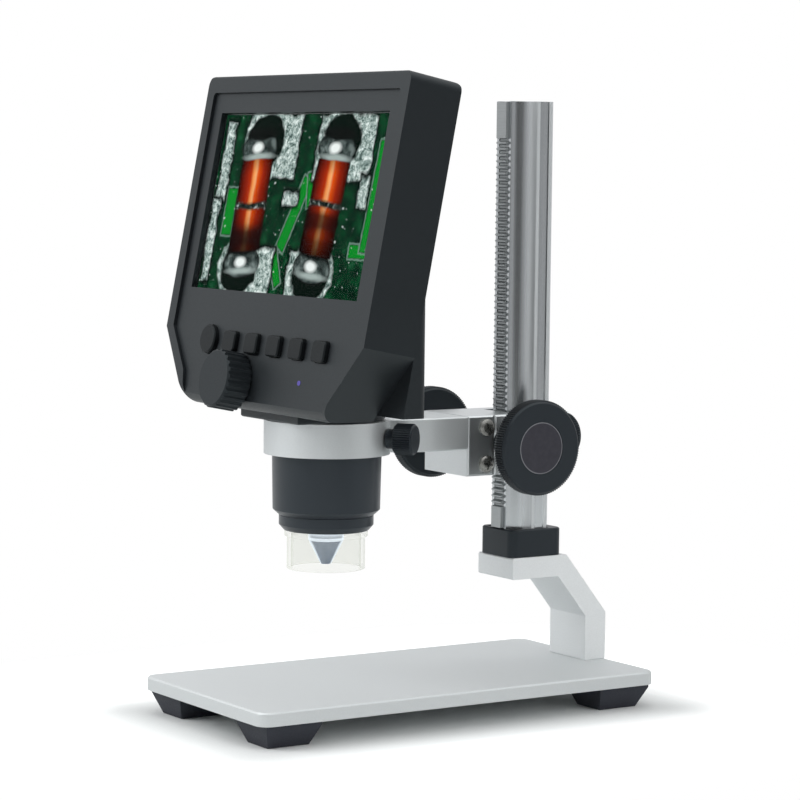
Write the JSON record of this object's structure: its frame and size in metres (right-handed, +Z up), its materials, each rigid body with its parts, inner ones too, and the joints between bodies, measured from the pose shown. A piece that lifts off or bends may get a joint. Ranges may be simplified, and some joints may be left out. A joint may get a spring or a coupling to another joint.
{
  "type": "lcd digital microscope",
  "caption": "Digital microscope with a leaning screen head held in a ring arm on a rack-and-pinion column over a flat stage plate.",
  "frame": {"origin": "on the table, under the middle of the stage plate", "axes": "+X to the right as the screen is read, +Y to the back, towards the column, +Z up"},
  "size_m": [0.1142, 0.141, 0.1927],
  "materials": {
    "satin_aluminium": "satin anodised",
    "bright_aluminium": "bright extruded",
    "black_anodised": "black anodised, knurled",
    "steel": "machined steel",
    "black_screw_steel": "blackened steel",
    "bronze": "sintered bronze",
    "foot_rubber": "moulded",
    "housing_abs": "fine moulded texture",
    "key_abs": "moulded",
    "knob_abs": "moulded",
    "barrel_abs": "satin moulded",
    "clear_window": "clear, polished",
    "clear_shield": "clear acrylic",
    "lens_glass": "polished",
    "display_tin": "folded tin frame",
    "circuit_board": "solder mask",
    "led_body": "moulded",
    "blue_led": "clear tinted",
    "cell_wrap": "foil laminate pouch",
    "sensor_ceramic": "ceramic package"
  },
  "bodies": {
    "stand": {"base_plate": "satin_aluminium", "foot_front_left": "foot_rubber", "foot_front_right": "foot_rubber", "foot_back_left": "foot_rubber", "foot_back_right": "foot_rubber", "foot_screws": "black_screw_steel", "column_bracket": "satin_aluminium", "bracket_screws": "black_screw_steel", "column_bolt": "black_screw_steel", "column": "bright_aluminium", "rack": "bright_aluminium", "column_collar": "black_anodised", "collar_grub_screw": "black_screw_steel"},
    "carriage": {"carriage_block": "satin_aluminium", "front_block": "satin_aluminium", "cheek_screws": "steel", "ring_arm": "satin_aluminium", "arm_screws": "black_screw_steel", "shaft_bushes": "bronze"},
    "pinion": {"pinion_shaft": "steel", "drive_knob_right": "black_anodised", "drive_knob_left": "black_anodised", "knob_caps": "black_anodised"},
    "lock": {"lock_knob": "black_anodised", "lock_stud": "steel"},
    "thumb": {"thumb_knob": "black_anodised", "thumb_stud": "steel"},
    "head": {"front_housing": "housing_abs", "rear_housing": "housing_abs", "housing_screws": "steel", "display_window": "clear_window", "lcd_module": "display_tin", "main_board": "circuit_board", "battery": "cell_wrap", "keypad_board": "circuit_board", "indicator_led": "blue_led", "neck_plate": "housing_abs", "barrel": "barrel_abs", "nose_ring": "barrel_abs", "light_shield": "clear_shield", "led_board": "circuit_board", "ring_leds": "led_body", "sensor_board": "circuit_board", "image_sensor": "sensor_ceramic", "focus_bush": "bronze", "usb_socket": "steel", "card_socket": "steel"},
    "focus": {"focus_knob": "knob_abs", "focus_shaft": "steel"},
    "lens": {"lens_carrier": "barrel_abs", "objective_lens": "lens_glass"},
    "power_key": {"power_button": "key_abs"},
    "key_1": {"key_button_1": "key_abs"},
    "key_2": {"key_button_2": "key_abs"},
    "key_3": {"key_button_3": "key_abs"},
    "key_4": {"key_button_4": "key_abs"},
    "key_5": {"key_button_5": "key_abs"}
  },
  "joints": [
    {"name": "carriage_lift", "type": "slide", "parent": "stand", "child": "carriage", "axis": [0, 0, 1], "range_m": [-0.0175, 0.09]},
    {"name": "pinion_turn", "type": "hinge", "parent": "carriage", "child": "pinion", "pos_m": [0, 0.0287, 0.0819], "axis": [1, 0, 0], "range_deg": [-859.6, 167.3]},
    {"name": "lock_turn", "type": "hinge", "parent": "carriage", "child": "lock", "pos_m": [0, 0.054, 0.0819], "axis": [0, 1, 0], "range_deg": [0, 540]},
    {"name": "thumb_turn", "type": "hinge", "parent": "carriage", "child": "thumb", "pos_m": [0, -0.0278, 0.08535], "axis": [0.788, 0.6157, 0], "range_deg": [0, 540]},
    {"name": "head_swivel", "type": "hinge", "parent": "carriage", "child": "head", "pos_m": [0, -0.0278, 0.0907], "axis": [0, 0, 1], "range_deg": [-60, 60]},
    {"name": "focus_turn", "type": "hinge", "parent": "head", "child": "focus", "pos_m": [-0.0102, -0.05345, 0.10162], "axis": [0, -0.9813, 0.1925], "range_deg": [-20.9, 166.7]},
    {"name": "lens_focus", "type": "slide", "parent": "head", "child": "lens", "axis": [0, 0, 1], "range_m": [-0.001, 0.008]},
    {"name": "power_press", "type": "slide", "parent": "head", "child": "power_key", "axis": [0, 0.9813, -0.1925], "range_m": [0, 0.0007], "stiffness_N_per_m": 400},
    {"name": "key_1_press", "type": "slide", "parent": "head", "child": "key_1", "axis": [0, 0.9813, -0.1925], "range_m": [0, 0.0007], "stiffness_N_per_m": 400},
    {"name": "key_2_press", "type": "slide", "parent": "head", "child": "key_2", "axis": [0, 0.9813, -0.1925], "range_m": [0, 0.0007], "stiffness_N_per_m": 400},
    {"name": "key_3_press", "type": "slide", "parent": "head", "child": "key_3", "axis": [0, 0.9813, -0.1925], "range_m": [0, 0.0007], "stiffness_N_per_m": 400},
    {"name": "key_4_press", "type": "slide", "parent": "head", "child": "key_4", "axis": [0, 0.9813, -0.1925], "range_m": [0, 0.0007], "stiffness_N_per_m": 400},
    {"name": "key_5_press", "type": "slide", "parent": "head", "child": "key_5", "axis": [0, 0.9813, -0.1925], "range_m": [0, 0.0007], "stiffness_N_per_m": 400}
  ],
  "couplings": [
    {"joint": "pinion_turn", "follows": "carriage_lift", "rad_per_m": -166.67},
    {"joint": "focus_turn", "follows": "lens_focus", "rad_per_m": 363.44}
  ]
}
